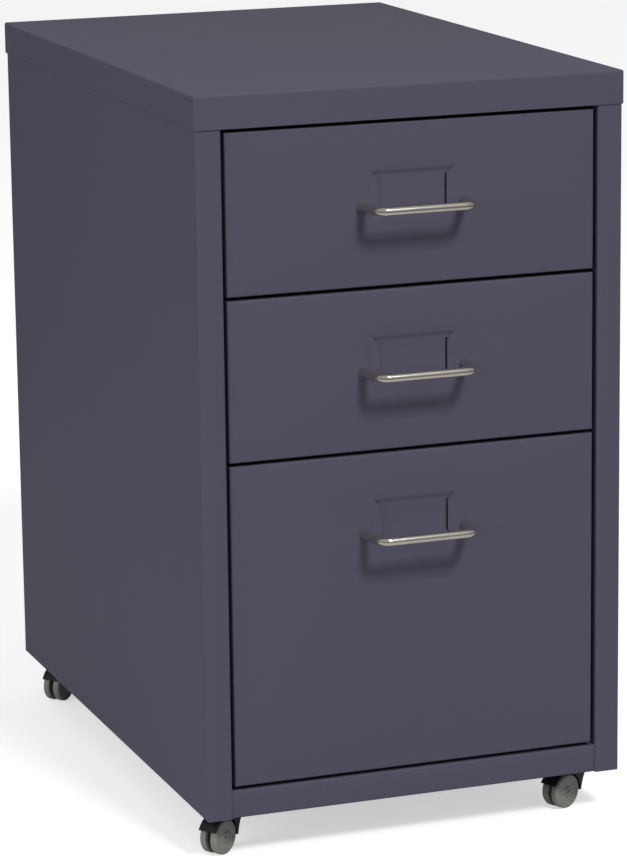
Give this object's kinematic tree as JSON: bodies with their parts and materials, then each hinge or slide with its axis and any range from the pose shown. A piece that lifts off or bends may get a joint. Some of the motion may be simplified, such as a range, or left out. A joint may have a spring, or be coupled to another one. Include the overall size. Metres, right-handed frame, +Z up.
{
  "type": "rolling pedestal cabinet",
  "caption": "Rolling metal pedestal cabinet with box drawers over a file drawer, bow pulls, ball-bearing slides and swivel casters.",
  "frame": {"origin": "on the floor, under the middle of the overall box, pulls included", "axes": "+X to the right of someone facing the drawers, +Y towards the back, +Z up; the drawers open along -Y"},
  "size_m": [0.4, 0.6258, 0.687],
  "materials": {
    "powder_coat": "fine satin powder coat, dark grey with a violet cast",
    "tray_coat": "the same powder coat, a thinner layer",
    "zinc_steel": "zinc plated",
    "ball_steel": "bright pressed steel with bearing balls",
    "satin_nickel": "satin nickel",
    "caster_black": "moulded nylon",
    "wheel_grey": "smooth hard nylon"
  },
  "bodies": {
    "carcass": {"back_panel": "powder_coat", "base_pan": "powder_coat", "carcass_screws": "zinc_steel", "caster_plate_front_left": "zinc_steel", "caster_plate_front_right": "zinc_steel", "caster_plate_rear_left": "zinc_steel", "caster_plate_rear_right": "zinc_steel", "caster_screws": "zinc_steel", "drawer_1_slide_outer_left": "zinc_steel", "drawer_1_slide_outer_right": "zinc_steel", "drawer_2_slide_outer_left": "zinc_steel", "drawer_2_slide_outer_right": "zinc_steel", "drawer_3_slide_outer_left": "zinc_steel", "drawer_3_slide_outer_right": "zinc_steel", "front_bottom_rail": "powder_coat", "left_front_upright": "powder_coat", "left_rear_upright": "powder_coat", "left_side_panel": "powder_coat", "right_front_upright": "powder_coat", "right_rear_upright": "powder_coat", "right_side_panel": "powder_coat", "top_cover": "powder_coat", "top_front_rail": "powder_coat"},
    "drawer_1": {"drawer_1_front": "powder_coat", "drawer_1_pull": "satin_nickel", "drawer_1_pull_screws": "zinc_steel", "drawer_1_slide_inner_left": "zinc_steel", "drawer_1_slide_inner_right": "zinc_steel", "drawer_1_tray": "tray_coat"},
    "drawer_2": {"drawer_2_front": "powder_coat", "drawer_2_pull": "satin_nickel", "drawer_2_pull_screws": "zinc_steel", "drawer_2_slide_inner_left": "zinc_steel", "drawer_2_slide_inner_right": "zinc_steel", "drawer_2_tray": "tray_coat"},
    "drawer_3": {"drawer_3_front": "powder_coat", "drawer_3_pull": "satin_nickel", "drawer_3_pull_screws": "zinc_steel", "drawer_3_slide_inner_left": "zinc_steel", "drawer_3_slide_inner_right": "zinc_steel", "drawer_3_tray": "tray_coat"},
    "drawer_1_cages": {"drawer_1_ball_cages": "ball_steel"},
    "drawer_2_cages": {"drawer_2_ball_cages": "ball_steel"},
    "drawer_3_middle": {"drawer_3_slide_middle_left": "zinc_steel", "drawer_3_slide_middle_right": "zinc_steel"},
    "drawer_3_outer_cages": {"drawer_3_outer_ball_cages": "ball_steel"},
    "drawer_3_inner_cages": {"drawer_3_inner_ball_cages": "ball_steel"},
    "swivel_front_left": {"caster_housing_front_left": "caster_black", "caster_axle_front_left": "zinc_steel"},
    "wheels_front_left": {"caster_wheels_front_left": "wheel_grey"},
    "swivel_front_right": {"caster_housing_front_right": "caster_black", "caster_axle_front_right": "zinc_steel"},
    "wheels_front_right": {"caster_wheels_front_right": "wheel_grey"},
    "swivel_rear_left": {"caster_housing_rear_left": "caster_black", "caster_axle_rear_left": "zinc_steel"},
    "wheels_rear_left": {"caster_wheels_rear_left": "wheel_grey"},
    "swivel_rear_right": {"caster_housing_rear_right": "caster_black", "caster_axle_rear_right": "zinc_steel"},
    "wheels_rear_right": {"caster_wheels_rear_right": "wheel_grey"}
  },
  "joints": [
    {"name": "drawer_1_slide", "type": "slide", "parent": "carcass", "child": "drawer_1", "axis": [0, -1, 0], "range_m": [0, 0.375]},
    {"name": "drawer_1_cage_slide", "type": "slide", "parent": "carcass", "child": "drawer_1_cages", "axis": [0, -1, 0], "range_m": [0, 0.1875]},
    {"name": "drawer_2_slide", "type": "slide", "parent": "carcass", "child": "drawer_2", "axis": [0, -1, 0], "range_m": [0, 0.375]},
    {"name": "drawer_2_cage_slide", "type": "slide", "parent": "carcass", "child": "drawer_2_cages", "axis": [0, -1, 0], "range_m": [0, 0.1875]},
    {"name": "drawer_3_slide", "type": "slide", "parent": "carcass", "child": "drawer_3", "axis": [0, -1, 0], "range_m": [0, 0.5]},
    {"name": "drawer_3_middle_slide", "type": "slide", "parent": "carcass", "child": "drawer_3_middle", "axis": [0, -1, 0], "range_m": [0, 0.25]},
    {"name": "drawer_3_outer_cages_slide", "type": "slide", "parent": "carcass", "child": "drawer_3_outer_cages", "axis": [0, -1, 0], "range_m": [0, 0.125]},
    {"name": "drawer_3_inner_cages_slide", "type": "slide", "parent": "carcass", "child": "drawer_3_inner_cages", "axis": [0, -1, 0], "range_m": [0, 0.375]},
    {"name": "swivel_front_left", "type": "hinge", "parent": "carcass", "child": "swivel_front_left", "pos_m": [-0.1685, -0.2369, 0.0485], "axis": [0, 0, 1], "continuous": true},
    {"name": "roll_front_left", "type": "hinge", "parent": "swivel_front_left", "child": "wheels_front_left", "pos_m": [-0.17902, -0.24454, 0.016], "axis": [0.5878, -0.809, 0], "continuous": true},
    {"name": "swivel_front_right", "type": "hinge", "parent": "carcass", "child": "swivel_front_right", "pos_m": [0.1685, -0.2369, 0.0485], "axis": [0, 0, 1], "continuous": true},
    {"name": "roll_front_right", "type": "hinge", "parent": "swivel_front_right", "child": "wheels_front_right", "pos_m": [0.15672, -0.24239, 0.016], "axis": [0.4226, -0.9063, 0], "continuous": true},
    {"name": "swivel_rear_left", "type": "hinge", "parent": "carcass", "child": "swivel_rear_left", "pos_m": [-0.1685, 0.2689, 0.0485], "axis": [0, 0, 1], "continuous": true},
    {"name": "roll_rear_left", "type": "hinge", "parent": "swivel_rear_left", "child": "wheels_rear_left", "pos_m": [-0.17816, 0.2602, 0.016], "axis": [0.6691, -0.7431, 0], "continuous": true},
    {"name": "swivel_rear_right", "type": "hinge", "parent": "carcass", "child": "swivel_rear_right", "pos_m": [0.1685, 0.2689, 0.0485], "axis": [0, 0, 1], "continuous": true},
    {"name": "roll_rear_right", "type": "hinge", "parent": "swivel_rear_right", "child": "wheels_rear_right", "pos_m": [0.16405, 0.25668, 0.016], "axis": [0.9397, -0.342, 0], "continuous": true}
  ],
  "couplings": [
    {"joint": "drawer_1_cage_slide", "follows": "drawer_1_slide", "ratio": 0.5},
    {"joint": "drawer_2_cage_slide", "follows": "drawer_2_slide", "ratio": 0.5},
    {"joint": "drawer_3_middle_slide", "follows": "drawer_3_slide", "ratio": 0.5},
    {"joint": "drawer_3_outer_cages_slide", "follows": "drawer_3_slide", "ratio": 0.25},
    {"joint": "drawer_3_inner_cages_slide", "follows": "drawer_3_slide", "ratio": 0.75}
  ]
}
